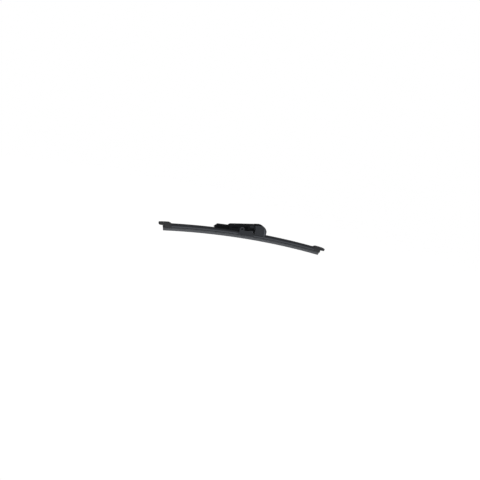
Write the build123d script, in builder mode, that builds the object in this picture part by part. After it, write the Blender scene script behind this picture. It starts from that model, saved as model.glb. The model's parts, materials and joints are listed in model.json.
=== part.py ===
"""Rear wiper blade: a rubber strip on two sprung rails under a spoiler, carried by a connector that
swings on a cross pin. Millimetres. X runs along the blade, Z points up, the wiping lip points down.
The origin lies on the adaptor's arm seat, straight above the middle of the blade."""

import os
from math import cos, degrees, radians, sin

from build123d import *

os.makedirs("parts", exist_ok=True)

# Whole blade
rubber_length = 280.0
curve_radius = 1220.0
fit_gap = 0.1
slide_gap = 0.3
cut_margin = 5.0

# Rubber section, heights counted from the lip's edge
lip_edge_width = 0.7
lip_root_width = 2.6
lip_height = 3.7
web_width = 1.0
web_height = 0.8
shoulder_width = 5.4
rail_height = 7.4
head_width = 4.6
head_height = 1.3
lip_end_trim = 0.7

# Spring rails
rail_width = 3.7
rail_thickness = 0.8
rail_spacing = 2.4

# Spoiler section
claw_wall = 0.9
claw_thickness = 0.75
claw_reach = 1.5
claw_bevel = 0.3
spoiler_top = 12.4
ridge_width = 1.3
ridge_offset = 0.9
ridge_round = 0.4
flank_foot = 8.9
flank_hollow = 0.75
rear_hollow = 0.3

# End caps
cap_wall = 1.2
cap_floor = 0.6
cap_overlap = 13.2
cap_end_wall = 1.0
cap_end_inset = 1.8
cap_lead = 2.2
cap_step = 0.9
cap_shoulder = 9.5
cap_rise = 2.3
cap_ramp = 4.2
cap_mouth_wall = 0.5
crown_width = 5.6
crown_round = 1.6
nose_reach = 7.4
nose_underside = 9.9
nose_rise = 0.3
nose_drop = 0.6
nose_tip_width = 7.4
nose_tip_round = 1.5
nose_corner_round = 2.5
nose_root_round = 0.9

# Connector base
base_length = 28.0
base_proud = 0.2
base_skirt = 0.25
deck_height = 10.9
cheek_thickness = 1.8
cheek_back_inset = 1.4
cheek_front_inset = 3.0
cheek_back_height = 12.9
cheek_front_height = 16.4
eye_radius = 3.9

# Pivot, near the back end of the base
pivot_inset = 5.4
pivot_height = 16.56
pin_radius = 1.7
pin_play = 0.05
pin_proud = 0.2
pin_bevel = 0.3

# Adaptor, in its own tilted side plane around the pin
rest_tilt = 8.0
swing_down = 10.0
seat_rise = 7.3
shank_width = 11.8
shank_back = 22.2
shank_front = 21.2
shank_lead = 3.4
shank_lead_drop = 1.6
shank_edge_round = 0.5
roof_thickness = 1.8
wall_drop = 4.1
arch_gap = 0.5
window_radius = 5.0
window_reach = 9.2
window_height = 4.6
ear_radius = 3.6
ear_thickness = 1.6
ear_drop = 4.6
tail_reach = 47.0
tail_tip_ramp = 5.7
tail_tip_round = 0.5
tail_tip_drop = 0.25
tail_width = 9.0
tail_wall = 1.5
tail_dip = 2.2
tail_gap = 1.1
recess_length = 11.6
recess_height = 3.4
recess_back = 12.8
recess_rise = 2.7
recess_depth = 0.8
recess_round = 0.6
pad_length = 6.6
pad_height = 3.8
pad_front = 16.4
pad_rise = 4.7
pad_lift = 0.4

# Nose cover, in the same side plane
cover_start = 22.4
cover_hem_start = 21.0
cover_flat = 30.6
cover_reach = 43.4
cover_undercut = 1.2
cover_width = 15.6
cover_wall = 1.4
cover_lift = 0.2
cover_knee = 4.2
cover_bulge = 3.0
cover_knee_round = 5.0
cover_edge_round = 2.6
cover_hem = 10.7
cover_hollow = 1.2
cover_gap = 0.9
core_length = 4.5

# Positions that follow from the sizes above
tilt = radians(rest_tilt)
swing = radians(swing_down)
base_end = base_length / 2
pivot_offset = base_end - pivot_inset
pivot_x = -pivot_offset
pivot_z = (pivot_x * sin(tilt) - seat_rise) / cos(tilt)
lip_z = pivot_z - pivot_height
half_length = rubber_length / 2
rail_top = rail_height + rail_thickness
rail_inner = rail_spacing / 2
rail_outer = rail_inner + rail_width
shoulder_base = lip_height + web_height
head_top = rail_top + head_height
claw_inner = rail_outer - claw_reach
claw_top = rail_height - fit_gap
claw_base = claw_top - claw_thickness
spoiler_half = rail_outer + fit_gap + claw_wall
spoiler_start = base_end + fit_gap
cap_start = half_length - cap_overlap
cap_depth = cap_overlap - cap_end_inset - cap_end_wall
strip_end = cap_start + cap_depth - fit_gap
cap_base = claw_base - cap_floor
cap_top = spoiler_top + cap_rise
cap_half = spoiler_half + cap_wall
base_half = spoiler_half + base_proud
cheek_root = head_top + fit_gap - pivot_height
cheek_inner = base_half - cheek_thickness
cheek_back = base_end - cheek_back_inset
cheek_front = base_end - cheek_front_inset
shank_half = shank_width / 2
ear_half = cheek_inner - slide_gap
wall_thickness = shank_half - ear_half
cover_half = cover_width / 2
cover_hem_reach = cover_reach - cover_undercut
cover_top = seat_rise + cover_lift
core_half = cover_half - cover_wall - fit_gap
core_top = cover_top - cover_wall
core_end = cover_start + core_length

curve_axis = Axis((0, 0, lip_z - curve_radius), (0, 1, 0))
shank_axis = Axis((0, 0, 0), (cos(tilt), 0, sin(tilt)))
seat_axis = Axis((0, 0, 0), (-sin(tilt), 0, cos(tilt)))
side = Plane((pivot_x, 0, pivot_z), x_dir=(cos(tilt), 0, sin(tilt)), z_dir=(0, -1, 0))
upright = Plane((pivot_x, 0, pivot_z), x_dir=(1, 0, 0), z_dir=(0, -1, 0))
swung = Plane((pivot_x, 0, pivot_z), x_dir=(cos(swing), 0, sin(swing)), z_dir=(0, -1, 0))


def station(distance):
    """Plane across the blade at a distance along its curve: x is the width, y the height over the lip."""
    angle = distance / curve_radius
    return Plane(
        (curve_radius * sin(angle), 0, lip_z - curve_radius * (1 - cos(angle))),
        x_dir=(0, 1, 0),
        z_dir=(cos(angle), 0, -sin(angle)),
    )


def profile(distance):
    """Plane along the blade at the same point: x runs along the blade, y is the height over the lip."""
    across = station(distance)
    return Plane(across.origin, x_dir=across.z_dir, z_dir=(0, -1, 0))


def plan(distance):
    """Plane seen from above at the same point: x runs along the blade, y is the width."""
    across = station(distance)
    return Plane(across.origin, x_dir=across.z_dir, z_dir=across.y_dir)


def run_along(length, mode=Mode.ADD):
    """Carry the pending section along the blade's curve."""
    revolve(axis=curve_axis, revolution_arc=degrees(length / curve_radius), mode=mode)


def over_blade(reach, height, lean=tilt):
    """Point of the adaptor's side plane at a reach from the pin, a height over the lip and a lean."""
    angle = (reach - pivot_offset) / curve_radius
    along = (curve_radius + height) * sin(angle) + pivot_offset
    above = (curve_radius + height) * cos(angle) - curve_radius - pivot_height
    return (along * cos(lean) + above * sin(lean), above * cos(lean) - along * sin(lean))


def spoiler_outline():
    """Closed outer outline of the spoiler: a hollow front flank, a narrow ridge and a steeper rear flank."""
    front_ridge = ridge_offset - ridge_width / 2
    rear_ridge = ridge_offset + ridge_width / 2
    with BuildLine() as outline:
        Line((-spoiler_half, claw_base), (spoiler_half, claw_base))
        Line((spoiler_half, claw_base), (spoiler_half, flank_foot))
        SagittaArc((spoiler_half, flank_foot), (rear_ridge, spoiler_top), -rear_hollow)
        Line((rear_ridge, spoiler_top), (front_ridge, spoiler_top))
        SagittaArc((front_ridge, spoiler_top), (-spoiler_half, flank_foot), -flank_hollow)
        Line((-spoiler_half, flank_foot), (-spoiler_half, claw_base))
    make_face(outline.edges())


def cap_outline():
    """Closed outer outline of an end cap: upright sides, sloping flanks and a rounded crown."""
    with BuildLine() as outline:
        Polyline(
            (-cap_half, cap_base),
            (cap_half, cap_base),
            (cap_half, cap_shoulder),
            (ridge_offset + crown_width / 2, cap_top),
            (ridge_offset - crown_width / 2, cap_top),
            (-cap_half, cap_shoulder),
            close=True,
        )
    make_face(outline.edges())
    fillet(vertices().group_by(Axis.Y)[1] + vertices().group_by(Axis.Y)[2], radius=crown_round)


def rail_channel():
    """Cut the way for rubber and rails out of a section: open below, grooved, roofed over the head."""
    with BuildLine() as outline:
        Polyline(
            (0, claw_base - cut_margin),
            (claw_inner, claw_base - cut_margin),
            (claw_inner, claw_top),
            (rail_outer + fit_gap, claw_top),
            (rail_outer + fit_gap, rail_top),
            (head_width / 2 + fit_gap, rail_top),
            (head_width / 2 + fit_gap, head_top + fit_gap),
            (0, head_top + fit_gap),
        )
        mirror(about=Plane.YZ)
    make_face(outline.edges(), mode=Mode.SUBTRACT)


def cheek_outline():
    """Side outline of a cheek of the base: a wall that rises to the front, and a post with the pin's eye."""
    with BuildLine() as wall:
        Polyline(
            (pivot_offset - cheek_back, cheek_root),
            (pivot_offset - cheek_back, cheek_back_height - pivot_height),
            (pivot_offset + cheek_front, cheek_front_height - pivot_height),
            (pivot_offset + cheek_front, cheek_root),
            close=True,
        )
    make_face(wall.edges())
    Circle(eye_radius)
    Rectangle(2 * eye_radius, -cheek_root, align=(Align.CENTER, Align.MAX))


def cover_outline(inset, run_out):
    """Side outline of the nose cover, drawn in by an inset and run out at its open back and hem."""
    top = cover_top - inset
    knee = (cover_reach - inset, -cover_knee)
    hem_front = (cover_hem_reach - inset, over_blade(cover_hem_reach, cover_hem)[1] - run_out)
    hem_back = (cover_hem_start - run_out, over_blade(cover_hem_start, cover_hem)[1] - run_out)
    with BuildLine() as outline:
        Line((cover_start - run_out, top), (cover_flat - inset, top))
        SagittaArc((cover_flat - inset, top), knee, cover_bulge)
        Line(knee, hem_front)
        Line(hem_front, hem_back)
        SagittaArc(hem_back, (cover_start - run_out, top), -cover_hollow)
    make_face(outline.edges())
    fillet(vertices().sort_by(Axis.X)[-1], radius=cover_knee_round)


# Wiper rubber
with BuildPart() as wiper_rubber:
    with BuildSketch(station(-half_length)):
        with BuildLine():
            Polyline(
                (0, 0),
                (lip_edge_width / 2, 0),
                (lip_root_width / 2, lip_height),
                (web_width / 2, lip_height),
                (web_width / 2, shoulder_base),
                (shoulder_width / 2, shoulder_base),
                (shoulder_width / 2, rail_height),
                (rail_inner, rail_height),
                (rail_inner, rail_top),
                (head_width / 2, rail_top),
                (head_width / 2, head_top),
                (0, head_top),
            )
            mirror(about=Plane.YZ)
        make_face()
    run_along(rubber_length)
    with BuildSketch(profile(half_length)):
        with BuildLine():
            Polyline(
                (0, rail_height),
                (-lip_end_trim, 0),
                (-lip_end_trim, -cut_margin),
                (0, -cut_margin),
                close=True,
            )
        make_face()
    end_cut = extrude(amount=cut_margin, both=True, mode=Mode.SUBTRACT)
    mirror(end_cut, about=Plane.YZ, mode=Mode.SUBTRACT)
wiper_rubber.part.label = "wiper_rubber"
export_step(wiper_rubber.part, "parts/wiper_rubber.step")

# Spring rails
for rail_name, rail_side in (("front_spring_rail", -1), ("rear_spring_rail", 1)):
    with BuildPart() as spring_rail:
        with BuildSketch(station(-strip_end)):
            with Locations((rail_side * (rail_inner + rail_width / 2), rail_height + rail_thickness / 2)):
                Rectangle(rail_width, rail_thickness)
        run_along(2 * strip_end)
    spring_rail.part.label = rail_name
    export_step(spring_rail.part, f"parts/{rail_name}.step")

# Spoilers
for spoiler_name, spoiler_from in (("left_spoiler", -strip_end), ("right_spoiler", spoiler_start)):
    with BuildPart() as spoiler:
        with BuildSketch(station(spoiler_from)):
            spoiler_outline()
            fillet(vertices().group_by(Axis.Y)[-1], radius=ridge_round)
            chamfer(vertices().group_by(Axis.Y)[0], length=claw_bevel)
            rail_channel()
        run_along(strip_end - spoiler_start)
    spoiler.part.label = spoiler_name
    export_step(spoiler.part, f"parts/{spoiler_name}.step")

# End caps
with BuildPart() as right_end_cap:
    with BuildSketch(station(cap_start)):
        cap_outline()
        offset(amount=-cap_step)
    with BuildSketch(station(cap_start + cap_lead)) as cap_section:
        cap_outline()
    loft(ruled=True)
    revolve(
        cap_section.sketch,
        axis=curve_axis,
        revolution_arc=degrees((cap_overlap - cap_lead + nose_reach) / curve_radius),
    )
    with BuildSketch(profile(half_length).offset(-2 * cap_half)):
        with BuildLine():
            Polyline(
                (-2 * cap_overlap, 0),
                (-cap_end_inset, 0),
                (-cap_end_inset, nose_underside),
                (nose_reach, nose_underside + nose_rise),
                (nose_reach, cap_top - nose_drop),
                (-cap_end_inset, cap_top),
                (cap_ramp - cap_overlap, cap_top),
                (-cap_overlap, spoiler_top + cap_mouth_wall),
                (-2 * cap_overlap, spoiler_top + cap_mouth_wall),
                close=True,
            )
        make_face()
        fillet(vertices().group_by(Axis.X)[-1], radius=nose_tip_round)
        fillet(vertices().sort_by_distance((-cap_end_inset, nose_underside))[0], radius=nose_root_round)
    extrude(amount=4 * cap_half, mode=Mode.INTERSECT)
    with BuildSketch(plan(half_length)):
        with BuildLine():
            Polyline(
                (-2 * cap_overlap, -2 * cap_half),
                (-cap_end_inset, -2 * cap_half),
                (-cap_end_inset, -cap_half),
                (nose_reach, -nose_tip_width / 2),
                (nose_reach, nose_tip_width / 2),
                (-cap_end_inset, cap_half),
                (-cap_end_inset, 2 * cap_half),
                (-2 * cap_overlap, 2 * cap_half),
                close=True,
            )
        make_face()
        fillet(vertices().group_by(Axis.X)[-1], radius=nose_corner_round)
    extrude(amount=2 * cap_top, mode=Mode.INTERSECT)
    with BuildSketch(station(cap_start)):
        spoiler_outline()
        offset(amount=fit_gap)
        with Locations((0, claw_base - cut_margin)):
            Rectangle(2 * claw_inner, 2 * cut_margin)
    run_along(cap_depth, mode=Mode.SUBTRACT)
    with BuildSketch(station(cap_start)):
        with Locations((0, head_top + fit_gap)):
            Rectangle(shoulder_width + 2 * fit_gap, head_top + fit_gap, align=(Align.CENTER, Align.MAX))
    run_along(cap_overlap + fit_gap, mode=Mode.SUBTRACT)
right_end_cap.part.label = "right_end_cap"
export_step(right_end_cap.part, "parts/right_end_cap.step")

with BuildPart() as left_end_cap:
    mirror(right_end_cap.part, about=Plane.YZ)
left_end_cap.part.label = "left_end_cap"
export_step(left_end_cap.part, "parts/left_end_cap.step")

# Connector base
with BuildPart() as connector_base:
    with BuildSketch(station(-base_end)):
        with Locations((0, deck_height)):
            Rectangle(2 * base_half, deck_height - claw_base + base_skirt, align=(Align.CENTER, Align.MAX))
        rail_channel()
    run_along(base_length)
    with BuildSketch(upright.offset(cheek_inner)):
        cheek_outline()
    cheek = extrude(amount=cheek_thickness)
    mirror(cheek, about=Plane.XZ)
    with BuildSketch(upright):
        Circle(pin_radius)
    extrude(amount=base_half, both=True, mode=Mode.SUBTRACT)
connector_base.part.label = "connector_base"
export_step(connector_base.part, "parts/connector_base.step")

# Pivot pin
with BuildPart() as pivot_pin:
    with BuildSketch(upright):
        Circle(pin_radius)
    extrude(amount=base_half + pin_proud, both=True)
    chamfer(edges(), length=pin_bevel)
pivot_pin.part.label = "pivot_pin"
export_step(pivot_pin.part, "parts/pivot_pin.step")

# Arm adaptor
with BuildPart() as arm_adaptor:
    shank_foot = over_blade(-shank_back, spoiler_top + tail_gap)
    tail_foot = over_blade(-tail_reach, spoiler_top + tail_gap)
    with BuildSketch(side):
        with BuildLine():
            Polyline(
                (-shank_back, seat_rise - shank_lead_drop),
                (shank_lead - shank_back, seat_rise),
                (shank_front, seat_rise),
                (shank_front, -wall_drop),
                over_blade(pivot_offset - base_end, spoiler_top + tail_gap),
                shank_foot,
                close=True,
            )
        make_face()
    extrude(amount=shank_half, both=True)
    for cheek_place in (upright, swung):
        with BuildSketch(cheek_place.offset(ear_half)):
            cheek_outline()
            offset(amount=arch_gap)
            Circle(window_radius)
            Rectangle(window_reach, window_height, align=(Align.MIN, Align.MIN))
        arch = extrude(amount=wall_thickness, mode=Mode.SUBTRACT)
        mirror(arch, about=Plane.XZ, mode=Mode.SUBTRACT)
    with BuildSketch(side):
        with BuildLine():
            Polyline(
                (-shank_back, seat_rise - tail_dip),
                (tail_tip_ramp - tail_reach, seat_rise - tail_tip_drop),
                tail_foot,
                shank_foot,
                close=True,
            )
        make_face()
        fillet(vertices().sort_by(Axis.Y)[-1], radius=tail_tip_round)
    extrude(amount=tail_width / 2, both=True)
    with BuildSketch(side):
        with Locations(((shank_front + core_end) / 2, core_top / 2)):
            Rectangle(core_end - shank_front, core_top)
    extrude(amount=core_half, both=True)
    with BuildSketch(side):
        with Locations((shank_front - wall_thickness, seat_rise - roof_thickness)):
            Rectangle(
                shank_back + shank_front - 2 * wall_thickness,
                2 * seat_rise,
                align=(Align.MAX, Align.MAX),
            )
    extrude(amount=ear_half, both=True, mode=Mode.SUBTRACT)
    with BuildSketch(side):
        with BuildLine():
            Polyline(
                (-shank_back - wall_thickness, seat_rise - tail_dip - roof_thickness),
                (tail_tip_ramp + tail_wall - tail_reach, seat_rise - tail_tip_drop - roof_thickness),
                (tail_tip_ramp + tail_wall - tail_reach, -cut_margin),
                (-shank_back - wall_thickness, -cut_margin),
                close=True,
            )
        make_face()
    extrude(amount=tail_width / 2 - tail_wall, both=True, mode=Mode.SUBTRACT)
    with BuildSketch(side):
        with Locations((core_end - wall_thickness, core_top - roof_thickness)):
            Rectangle(core_end - wall_thickness - shank_front, 2 * core_top, align=(Align.MAX, Align.MAX))
    extrude(amount=core_half - wall_thickness, both=True, mode=Mode.SUBTRACT)
    with BuildSketch(side.offset(ear_half - ear_thickness)):
        Circle(ear_radius)
        with Locations((shank_front, seat_rise - roof_thickness)):
            Rectangle(
                shank_front + ear_radius,
                seat_rise - roof_thickness + ear_drop,
                align=(Align.MAX, Align.MAX),
            )
    ear = extrude(amount=ear_thickness)
    mirror(ear, about=Plane.XZ)
    with BuildSketch(side):
        Circle(pin_radius + pin_play)
    extrude(amount=ear_half, both=True, mode=Mode.SUBTRACT)
    with BuildSketch(side.offset(shank_half - recess_depth)):
        with Locations((-recess_back, recess_rise)):
            RectangleRounded(recess_length, recess_height, recess_round)
    recess = extrude(amount=recess_depth, mode=Mode.SUBTRACT)
    mirror(recess, about=Plane.XZ, mode=Mode.SUBTRACT)
    with BuildSketch(side.offset(shank_half)):
        with Locations((pad_front, pad_rise)):
            RectangleRounded(pad_length, pad_height, recess_round)
    pad = extrude(amount=pad_lift)
    mirror(pad, about=Plane.XZ)
    seat = faces().filter_by(seat_axis).sort_by(seat_axis)[-1]
    fillet(seat.edges().filter_by(shank_axis), radius=shank_edge_round)
arm_adaptor.part.label = "arm_adaptor"
export_step(arm_adaptor.part, "parts/arm_adaptor.step")

# Nose cover
with BuildPart() as nose_cover:
    with BuildSketch(side):
        cover_outline(0, 0)
    extrude(amount=cover_half, both=True)
    for cheek_face in faces().filter_by(Axis.Y):
        fillet(cheek_face.edges().sort_by(Axis.Z)[1:].sort_by(Axis.X)[1:], radius=cover_edge_round)
    with BuildSketch(side):
        cover_outline(cover_wall, cut_margin)
    extrude(amount=cover_half - cover_wall, both=True, mode=Mode.SUBTRACT)
    with BuildSketch(side):
        with Locations((cover_hem_reach, over_blade(cover_reach, spoiler_top + cover_gap, tilt - swing)[1])):
            Rectangle(4 * cover_wall, 2 * cover_top + 2 * cover_hem, align=(Align.CENTER, Align.MAX))
    extrude(amount=cover_half - cover_wall, both=True, mode=Mode.SUBTRACT)
nose_cover.part.label = "nose_cover"
export_step(nose_cover.part, "parts/nose_cover.step")
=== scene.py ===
import json
from math import cos, radians, sin

import bpy
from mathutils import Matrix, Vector
from mathutils.bvhtree import BVHTree


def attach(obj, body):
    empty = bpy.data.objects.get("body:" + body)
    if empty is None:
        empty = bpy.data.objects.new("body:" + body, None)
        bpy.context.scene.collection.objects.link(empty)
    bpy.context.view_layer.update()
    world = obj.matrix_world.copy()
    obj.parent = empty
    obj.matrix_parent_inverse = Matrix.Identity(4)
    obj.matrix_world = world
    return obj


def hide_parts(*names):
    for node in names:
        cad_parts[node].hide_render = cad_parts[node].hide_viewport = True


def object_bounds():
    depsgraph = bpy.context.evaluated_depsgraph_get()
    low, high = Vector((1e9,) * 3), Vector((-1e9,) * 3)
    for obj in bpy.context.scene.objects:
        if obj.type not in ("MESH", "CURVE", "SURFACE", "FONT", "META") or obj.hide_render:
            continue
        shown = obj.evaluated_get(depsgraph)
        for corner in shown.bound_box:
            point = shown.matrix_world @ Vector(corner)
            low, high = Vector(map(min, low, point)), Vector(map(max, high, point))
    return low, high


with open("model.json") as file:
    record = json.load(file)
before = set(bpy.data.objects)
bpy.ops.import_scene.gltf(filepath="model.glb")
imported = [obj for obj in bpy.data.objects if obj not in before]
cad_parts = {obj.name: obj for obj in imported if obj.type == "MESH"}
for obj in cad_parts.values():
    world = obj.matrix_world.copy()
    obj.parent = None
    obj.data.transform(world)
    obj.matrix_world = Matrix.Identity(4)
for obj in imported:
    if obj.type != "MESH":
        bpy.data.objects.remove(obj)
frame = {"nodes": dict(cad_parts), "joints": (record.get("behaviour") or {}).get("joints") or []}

cad_low, cad_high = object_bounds()

# Wiper rubber: one extruded strip of grey natural rubber with a graphite-dusted lip, hung by its grooves
# from the two spring rails. The die leaves fine lines along it, and it is darker at the cut edge of the
# lip. In the corner under the spoilers' claws it is painted near black, as painted shadow.
class Wire:
    """One socket in a material's node tree. Arithmetic between wires adds Math nodes to that tree."""

    def __init__(self, tree, socket=None):
        self.tree = tree
        self.socket = socket

    def node(self, kind, settings=None, inputs=None, output=0):
        """Add a node: its settings first, then the values and links of its sockets."""
        made = self.tree.nodes.new(kind)
        for name, setting in (settings or {}).items():
            setattr(made, name, setting)
        for name, value in (inputs or {}).items():
            if isinstance(value, Wire):
                self.tree.links.new(value.socket, made.inputs[name])
            else:
                made.inputs[name].default_value = value
        return Wire(self.tree, made.outputs[output])

    def math(self, operation, *values):
        """Add a Math node that works on wires and numbers."""
        return self.node("ShaderNodeMath", {"operation": operation}, dict(enumerate(values)))

    def __add__(self, other):
        return self.math("ADD", self, other)

    def __radd__(self, other):
        return self.math("ADD", other, self)

    def __sub__(self, other):
        return self.math("SUBTRACT", self, other)

    def __rsub__(self, other):
        return self.math("SUBTRACT", other, self)

    def __mul__(self, other):
        return self.math("MULTIPLY", self, other)

    def __rmul__(self, other):
        return self.math("MULTIPLY", other, self)

    def place(self):
        """The point on the piece, in metres in the object's own frame."""
        return self.node("ShaderNodeTexCoord", output="Object")

    def axes(self, vector):
        """The three coordinates of a vector, each on its own wire."""
        split = self.node("ShaderNodeSeparateXYZ", inputs={"Vector": vector}).socket.node
        return [Wire(self.tree, socket) for socket in split.outputs]

    def length(self, first, second):
        """Length of the hypotenuse over two sides."""
        return self.math("SQRT", first * first + second * second)

    def speckle(self, vector, scale, detail=2.0, roughness=0.5):
        """Soft random cloud, 0 to 1, with so many lumps to a metre."""
        values = {"Vector": vector, "Scale": scale, "Detail": detail, "Roughness": roughness}
        return self.node("ShaderNodeTexNoise", inputs=values)

    def span(self, value, low, high, to_low=0.0, to_high=1.0):
        """Carry a value from one range into another, held at the ends, with a smooth step between."""
        values = {"Value": value, "From Min": low, "From Max": high, "To Min": to_low, "To Max": to_high}
        return self.node("ShaderNodeMapRange", {"interpolation_type": "SMOOTHSTEP"}, values)

    def tint(self, factor, dark, pale):
        """Colour between two shades."""
        return self.node("ShaderNodeMix", {"data_type": "RGBA"}, {0: factor, 6: dark, 7: pale}, output=2)

    def edges(self):
        """1 on the rounded edges of the piece, 0 on its faces, and graded on softened corners."""
        return self.node("ShaderNodeAttribute", {"attribute_name": "edge"}, output="Fac")

    def relief(self, height, depth):
        """Surface normal bent by a height, 0 to 1, that stands for a depth in metres."""
        return self.node("ShaderNodeBump", inputs={"Height": height, "Strength": 1.0, "Distance": depth})


def grey(level, cool=0.12):
    """Dark shade with a slightly cool cast, as black rubber and plastic have."""
    return (level * (1 - cool / 2), level, level * (1 + cool), 1)


def finish(slot, shine):
    """New material named after a slot, with the start of its node tree and its shader."""
    material = bpy.data.materials.new(slot + "_finish")
    material.use_nodes = True
    shader = material.node_tree.nodes["Principled BSDF"]
    shader.inputs["Specular IOR Level"].default_value = shine
    return material, Wire(material.node_tree), shader


def feed(shader, **wires):
    """Link wires to the sockets of a shader."""
    for name, wire in wires.items():
        wire.tree.links.new(wire.socket, shader.inputs[name.replace("_", " ").title()])


def edited(operator, **settings):
    """Run a mesh operator on the whole of the active piece."""
    bpy.ops.object.mode_set(mode="EDIT")
    bpy.ops.mesh.select_all(action="SELECT")
    operator(**settings)
    bpy.ops.object.mode_set(mode="OBJECT")


def copied(node, material):
    """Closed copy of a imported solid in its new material, and alone selected."""
    weld_reach = 0.000001
    bpy.ops.object.select_all(action="DESELECT")
    piece = bpy.data.objects.new(node + "_finished", frame["nodes"][node].data.copy())
    piece.data.materials.clear()
    piece.data.materials.append(material)
    bpy.context.scene.collection.objects.link(piece)
    piece.select_set(True)
    bpy.context.view_layer.objects.active = piece
    edited(bpy.ops.mesh.remove_doubles, threshold=weld_reach)
    return piece


def shaped(piece, kind, **settings):
    """Add a modifier with its settings to a piece and apply it."""
    modifier = piece.modifiers.new(kind.lower(), kind)
    for name, setting in settings.items():
        setattr(modifier, name, setting)
    bpy.ops.object.modifier_apply(modifier=modifier.name)


def put(piece, node, body):
    """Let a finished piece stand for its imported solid."""
    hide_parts(node)
    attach(piece, body)


def rounded(node, body, material, edge_round):
    """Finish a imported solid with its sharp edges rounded. The attribute edge is 1 on the rounds."""
    flat_within = radians(0.2)
    sharp_beyond = radians(32)
    smooth_within = radians(50)
    speck = 0.000003
    piece = copied(node, material)
    piece.data.materials.append(material)
    edited(bpy.ops.mesh.dissolve_limited, angle_limit=flat_within)
    shaped(
        piece,
        "BEVEL",
        width=edge_round,
        segments=3,
        limit_method="ANGLE",
        angle_limit=sharp_beyond,
        use_clamp_overlap=False,
        miter_outer="MITER_ARC",
        material=1,
    )
    edited(bpy.ops.mesh.remove_doubles, threshold=speck)
    edited(bpy.ops.mesh.dissolve_degenerate, threshold=speck)
    on_round = [float(face.material_index) for face in piece.data.polygons]
    piece.data.attributes.new("edge", "FLOAT", "FACE").data.foreach_set("value", on_round)
    piece.data.polygons.foreach_set("material_index", [0] * len(on_round))
    piece.data.materials.pop()
    bpy.ops.object.shade_smooth_by_angle(angle=smooth_within)
    shaped(piece, "WEIGHTED_NORMAL", keep_sharp=True)
    put(piece, node, body)


def along_blade(wire):
    """Coordinates that follow the bow: way along the lip, width, and height over the lip, in metres."""
    x, y, z = wire.axes(wire.place())
    up = z - bow_centre
    return wire.math("ARCTAN2", x, up) * bow_radius, y, wire.length(x, up) - bow_radius


def drawn_lines(wire, fineness, stretch):
    """Fine lines that an extruding die leaves: long along the blade, narrow across its section."""
    along, width, height = along_blade(wire)
    values = {"X": along * (fineness / stretch), "Y": width * fineness, "Z": height * fineness}
    section = wire.node("ShaderNodeCombineXYZ", inputs=values)
    return wire.speckle(section, scale=1.0, detail=3.0, roughness=0.6)


bow_radius = 1.220
lip_below_pin = 0.01656
pin_x, _, pin_z = frame["joints"][0]["pos_m"]
bow_centre = pin_z - lip_below_pin - bow_radius
claw_height = 0.00655
claw_shadow_start = claw_height - 0.0015
claw_shadow_full = claw_height - 0.0008
edge_height = 0.0008
rubber_cast = 0.08

rubber, wire, shader = finish("rubber", shine=0.04)
lines = drawn_lines(wire, fineness=2200.0, stretch=60.0)
dust = wire.speckle(wire.place(), scale=160.0, detail=4.0)
height_over_lip = along_blade(wire)[2]
cut_edge = 1 - wire.span(height_over_lip, edge_height / 2, edge_height)
# Painted shadow: just under the spoilers' claws the rubber is painted near black.
corner = wire.span(height_over_lip, claw_shadow_start, claw_shadow_full)
dusty_shade = wire.tint(lines * 0.5 + dust * 0.5, grey(0.108, rubber_cast), grey(0.142, rubber_cast))
edge_shade = wire.tint(lines, grey(0.080, rubber_cast), grey(0.100, rubber_cast))
painted_claw_shadow_on_rubber = wire.tint(dust, grey(0.022), grey(0.034))
feed(
    shader,
    base_color=wire.tint(corner, wire.tint(cut_edge, dusty_shade, edge_shade), painted_claw_shadow_on_rubber),
    roughness=0.66 + lines * 0.12 + dust * 0.10 - cut_edge * 0.14,
    normal=wire.relief(lines * 0.7 + dust * 0.3, depth=0.00004),
)
rounded("wiper_rubber", "blade", rubber, edge_round=0.00006)

# Spring rails: two flat strips of spring steel, bent to the bow and dipped black.
# They lie in the rubber's grooves and are held there by the spoilers, the base and the caps.
rail_steel, wire, shader = finish("rail_steel", shine=0.5)
scale_marks = drawn_lines(wire, fineness=1400.0, stretch=25.0)
clouds = wire.speckle(wire.place(), scale=220.0, detail=5.0)
mottle = scale_marks * 0.5 + clouds * 0.5
feed(
    shader,
    base_color=wire.tint(mottle, grey(0.018), grey(0.040)),
    roughness=0.36 + clouds * 0.22,
    normal=wire.relief(mottle, depth=0.00003),
)
for rail in ("front_spring_rail", "rear_spring_rail"):
    rounded(rail, "blade", rail_steel, edge_round=0.00015)

# Spoilers: two lengths of one extruded black elastomer profile, clipped over the rails.
# Die lines run along them. The wall below the hollow flank is painted paler than the flank, as painted
# light, and the claws that grip the rails are painted darkest, as painted shadow.
flank_foot = 0.0089
wall_top = flank_foot - 0.0003
flank_start = flank_foot + 0.0012
claw_top = claw_height + 0.0003
wall_start = claw_height + 0.0007
spoiler, wire, shader = finish("spoiler", shine=0.04)
lines = drawn_lines(wire, fineness=1700.0, stretch=90.0)
bloom = wire.speckle(wire.place(), scale=90.0, detail=5.0, roughness=0.6)
grain = wire.speckle(wire.place(), scale=5200.0, detail=1.0)
height_over_lip = along_blade(wire)[2]
# Painted light and shadow by height: the wall below the flank is painted paler, and the claws are painted
# darkest.
wall = 1 - wire.span(height_over_lip, wall_top, flank_start)
claw_underside_shadow = 1 - wire.span(height_over_lip, claw_top, wall_start)
mottle = lines * 0.45 + bloom * 0.55
flank_shade = wire.tint(mottle, grey(0.028), grey(0.044))
painted_wall_light = wire.tint(mottle, grey(0.064), grey(0.090))
painted_claw_shadow = wire.tint(mottle, grey(0.018), grey(0.028))
feed(
    shader,
    base_color=wire.tint(claw_underside_shadow, wire.tint(wall, flank_shade, painted_wall_light), painted_claw_shadow),
    roughness=0.60 + bloom * 0.14 + lines * 0.10,
    normal=wire.relief(lines * 0.75 + grain * 0.25, depth=0.00005),
)
for strip in ("left_spoiler", "right_spoiler"):
    rounded(strip, "blade", spoiler, edge_round=0.00012)
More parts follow.
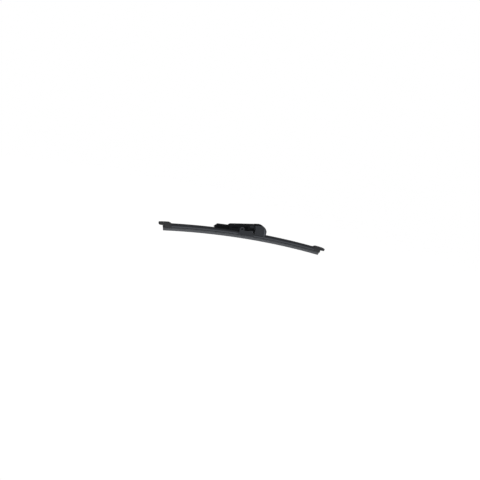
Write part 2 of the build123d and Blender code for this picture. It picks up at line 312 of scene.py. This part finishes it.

# End caps: two hollow mouldings in black nylon, snapped over the ends of rails and spoilers.
# The mould is spark eroded, which leaves a fine even grain. Their corners are soft, and painted paler,
# partly as wear and partly as painted highlight.
def flow_and_grain(wire, flow_scale=110.0, grain_scale=3600.0):
    """Soft flow clouds of a moulding, the grain of its mould, and the mottle that both make."""
    clouds = wire.speckle(wire.place(), flow_scale, detail=4.0, roughness=0.55)
    grain = wire.speckle(wire.place(), grain_scale, detail=2.0, roughness=0.6)
    return clouds, grain, clouds * 0.7 + grain * 0.3


def worn_and_highlit_edges(wire, clouds):
    """Wear and painted highlight on the rounded edges, stronger in some clouds than in others."""
    return wire.edges() * wire.span(clouds, 0.35, 0.60, to_low=0.3, to_high=1.0)


def moulded(slot, dark, pale, cool):
    """Fine grained black moulding whose edges are painted paler, as wear and as painted highlight."""
    material, wire, shader = finish(slot, shine=0.03)
    clouds, grain, mottle = flow_and_grain(wire)
    skin_shade = wire.tint(mottle, grey(dark, cool), grey(pale, cool))
    feed(
        shader,
        base_color=wire.tint(worn_and_highlit_edges(wire, clouds), skin_shade, grey(2 * pale, cool)),
        roughness=0.58 + clouds * 0.10 + grain * 0.12,
        normal=wire.relief(grain, depth=0.00004),
    )
    return material


def softened(node, body, material):
    """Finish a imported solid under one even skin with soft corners. Edge grows with what a corner lost."""
    skin_step = 0.00012
    worn_depth = 0.00006
    packed = frame["nodes"][node].data
    corners = [point.co for point in packed.vertices]
    sharp = BVHTree.FromPolygons(corners, [face.vertices for face in packed.polygons])
    piece = copied(node, material)
    shaped(piece, "REMESH", mode="VOXEL", voxel_size=skin_step, use_smooth_shade=True)
    shaped(piece, "SMOOTH", factor=0.5, iterations=5)
    shaped(piece, "DECIMATE", ratio=0.25)
    lost = []
    for point in piece.data.vertices:
        nearest, outwards, _, _ = sharp.find_nearest(point.co)
        depth = (nearest - point.co).dot(outwards)
        lost.append(min(1.0, max(0.0, depth / worn_depth)))
    piece.data.attributes.new("edge", "FLOAT", "POINT").data.foreach_set("value", lost)
    bpy.ops.object.shade_smooth()
    put(piece, node, body)


cap = moulded("cap", dark=0.035, pale=0.056, cool=0.06)
for end in ("left_end_cap", "right_end_cap"):
    softened(end, "blade", cap)

# Connector base: a moulded black block, clamped round the rails between the spoilers.
# Its two cheeks stand up beside the adaptor and hold the pin.
base = moulded("base", dark=0.032, pale=0.048, cool=0.12)
rounded("connector_base", "blade", base, edge_round=0.00020)

# Pivot pin: a turned steel pin, blackened, pressed through the cheeks of the base.
# Turning marks run round its bevelled ends.
turning_rate = 42000.0
pin, wire, shader = finish("pin", shine=0.04)
x, _, z = wire.axes(wire.place())
turning = wire.math("SINE", wire.length(x - pin_x, z - pin_z) * turning_rate) * 0.5 + 0.5
clouds = wire.speckle(wire.place(), scale=900.0, detail=4.0)
feed(
    shader,
    base_color=wire.tint(clouds, grey(0.003), grey(0.008)),
    roughness=0.30 + clouds * 0.18 + turning * 0.06,
    normal=wire.relief(turning * 0.7 + clouds * 0.3, depth=0.00002),
)
rounded("pivot_pin", "blade", pin, edge_round=0.00008)

# Arm adaptor: a deep black acetal moulding that swings on the pin, with the seat for the arm on top
# and a sprung tail. It is smoother than the other mouldings. Its sides carry painted shade by depth: the
# recesses are painted darkest and the raised pads palest. Its edges are painted paler, as wear and as
# painted highlight.
shank_half = 0.0059
recess_top = shank_half - 0.0005
side_start = shank_half - 0.0001
side_top = shank_half + 0.0001
pad_start = shank_half + 0.0003
adaptor, wire, shader = finish("adaptor", shine=0.008)
out = wire.math("ABSOLUTE", wire.axes(wire.place())[1])
clouds, grain, mottle = flow_and_grain(wire, flow_scale=140.0, grain_scale=4200.0)
# Painted shade by depth: the recesses are painted darkest, the side walls in between and the raised pads
# palest.
side = wire.span(out, recess_top, side_start)
pad = wire.span(out, side_top, pad_start)
painted_recess_shadow = wire.tint(mottle, grey(0.0045), grey(0.008))
side_shade = wire.tint(mottle, grey(0.006), grey(0.014))
painted_pad_light = wire.tint(mottle, grey(0.022), grey(0.034))
skin_shade = wire.tint(pad, wire.tint(side, painted_recess_shadow, side_shade), painted_pad_light)
# Its rounded edges are painted paler in some clouds, as wear and as painted highlight.
feed(
    shader,
    base_color=wire.tint(wire.edges() * clouds, skin_shade, grey(0.030)),
    roughness=0.50 + clouds * 0.10 + grain * 0.10,
    normal=wire.relief(grain, depth=0.00002),
)
rounded("arm_adaptor", "adaptor", adaptor, edge_round=0.00012)

# Nose cover: a thin black hood, clipped over the front of the adaptor to close the arm's channel.
# It has the spark grain of the base, a crown painted near black as painted shade, and a painted
# highlight line, broken up by fine noise, where each side turns into the front. Its edges are painted
# paler, as wear and as painted highlight.
rest_tilt = radians(8)
cover_half = 0.0078
flat_start = cover_half - 0.0004
flat_full = cover_half - 0.0002
knee_rise = -0.0042
knee_round = 0.0025
bend_reach = 0.0397
bend_lean = 0.15
line_half = 0.0003
line_fade = 0.0007
line_full_rise = -0.002
line_end_rise = 0.004
crown_rise = 0.0075
crown_start = crown_rise - 0.0013
crown_full = crown_rise - 0.0006
cover, wire, shader = finish("cover", shine=0.008)
x, y, z = wire.axes(wire.place())
out = wire.math("ABSOLUTE", y)
reach = (x - pin_x) * cos(rest_tilt) + (z - pin_z) * sin(rest_tilt)
rise = (z - pin_z) * cos(rest_tilt) - (x - pin_x) * sin(rest_tilt)
clouds, grain, mottle = flow_and_grain(wire)
# Painted highlight: a pale line along the knee where each side turns into the front, broken up by fine
# noise.
highlight_breakup = wire.speckle(wire.place(), scale=900.0, detail=3.0, roughness=0.6)
from_knee = rise - knee_rise
bend = reach + wire.math("SQRT", from_knee * from_knee + knee_round ** 2) * bend_lean
line = 1 - wire.span(wire.math("ABSOLUTE", bend - bend_reach), line_half, line_fade)
flat = wire.span(out, flat_start, flat_full)
low = 1 - wire.span(rise, line_full_rise, line_end_rise)
painted_knee_highlight = line * flat * low * wire.span(highlight_breakup, 0.35, 0.60, to_low=0.4, to_high=1.0)
# Painted shade: the crown of the hood is painted near black.
crown = wire.span(rise, crown_start, crown_full)
skin_shade = wire.tint(mottle, grey(0.035), grey(0.052))
painted_crown_shadow = wire.tint(mottle, grey(0.006), grey(0.012))
edged_shade = wire.tint(worn_and_highlit_edges(wire, clouds), skin_shade, grey(0.096))
feed(
    shader,
    base_color=wire.tint(crown, wire.tint(painted_knee_highlight, edged_shade, grey(0.200)), painted_crown_shadow),
    roughness=0.58 + clouds * 0.10 + grain * 0.12,
    normal=wire.relief(grain, depth=0.00004),
)
rounded("nose_cover", "adaptor", cover, edge_round=0.00020)

# Studio: a pale floor just below the reach of the swinging blade, a white surround for what the camera
# and the reflections see, and soft lamps, the largest from the camera's side. The floor fades out round it.
def plain_sight(wire):
    """1 for the camera and for what mirrors and glass show, 0 for the rays that carry light."""
    rays = wire.node("ShaderNodeLightPath").socket.node
    seen, mirrored, through = (
        Wire(wire.tree, rays.outputs[name])
        for name in ("Is Camera Ray", "Is Glossy Ray", "Is Transmission Ray")
    )
    return wire.math("MINIMUM", seen + mirrored + through, 1.0)


floor_half = 0.9
floor_drop = 0.027
fade_start = 0.3
floor_paint = (0.82, 0.82, 0.82, 1)
glow_strength = 1.46
glow_share = 0.6
bpy.ops.object.select_all(action="DESELECT")
bpy.ops.mesh.primitive_plane_add(size=2 * floor_half, location=(0, 0, cad_low.z - floor_drop))
floor = bpy.context.object
floor.name = "studio_floor"
paint = bpy.data.materials.new("studio_floor_paint")
paint.use_nodes = True
floor.data.materials.append(paint)
wire = Wire(paint.node_tree)
paint.node_tree.nodes.remove(paint.node_tree.nodes["Principled BSDF"])
x, y, _ = wire.axes(wire.place())
fade = wire.span(wire.length(x, y), fade_start, floor_half)
matt = wire.node("ShaderNodeBsdfDiffuse", inputs={"Color": floor_paint})
glow = wire.node("ShaderNodeEmission", inputs={"Strength": glow_strength})
lit = wire.node("ShaderNodeMixShader", inputs={0: plain_sight(wire) * glow_share, 1: matt, 2: glow})
clear = wire.node("ShaderNodeBsdfTransparent")
shown = wire.node("ShaderNodeMixShader", inputs={0: fade, 1: lit, 2: clear})
wire.tree.links.new(shown.socket, paint.node_tree.nodes["Material Output"].inputs["Surface"])

light_level = 0.20
world = bpy.data.worlds.new("studio_surround")
bpy.context.scene.world = world
world.use_nodes = True
wire = Wire(world.node_tree)
surround = world.node_tree.nodes["Background"]
surround.inputs["Color"].default_value = (1, 1, 1, 1)
level = wire.span(plain_sight(wire), 0.0, 1.0, to_low=light_level, to_high=1.0)
wire.tree.links.new(level.socket, surround.inputs["Strength"])


def around(azimuth, elevation, distance):
    """Place at a distance from the origin, 0 degrees being the blade's front."""
    flat = distance * cos(radians(elevation))
    return (flat * sin(radians(azimuth)), -flat * cos(radians(azimuth)), distance * sin(radians(elevation)))


def lamp(name, azimuth, elevation, distance, width, height, power):
    """Soft lamp that faces the blade."""
    data = bpy.data.lights.new(name, "AREA")
    data.shape = "RECTANGLE"
    data.size = width
    data.size_y = height
    data.energy = power
    holder = bpy.data.objects.new(name, data)
    bpy.context.scene.collection.objects.link(holder)
    holder.location = around(azimuth, elevation, distance)
    holder.rotation_euler = (radians(90 - elevation), 0, radians(azimuth))


lamp("front_lamp", azimuth=-18, elevation=12, distance=1.6, width=1.0, height=0.5, power=15)
lamp("right_lamp", azimuth=60, elevation=15, distance=1.6, width=0.6, height=0.6, power=6)
lamp("back_lamp", azimuth=225, elevation=20, distance=1.8, width=1.0, height=0.6, power=9)

camera_stand = Vector(around(azimuth=-18, elevation=10, distance=1.14759))
camera_shift = Vector((0.0008, 0, 0.00011))
camera_turn = (78.2925, -12.4469, -15.0920)
camera_data = bpy.data.cameras.new("photo_camera")
camera = bpy.data.objects.new("photo_camera", camera_data)
bpy.context.scene.collection.objects.link(camera)
camera_data.lens = 51.046
camera.location = camera_stand + camera_shift
camera.rotation_euler = [radians(angle) for angle in camera_turn]
bpy.context.scene.camera = camera
bpy.context.scene.view_settings.view_transform = "Standard"

# Bring the scene up to date with all pieces in place.
bpy.context.view_layer.update()
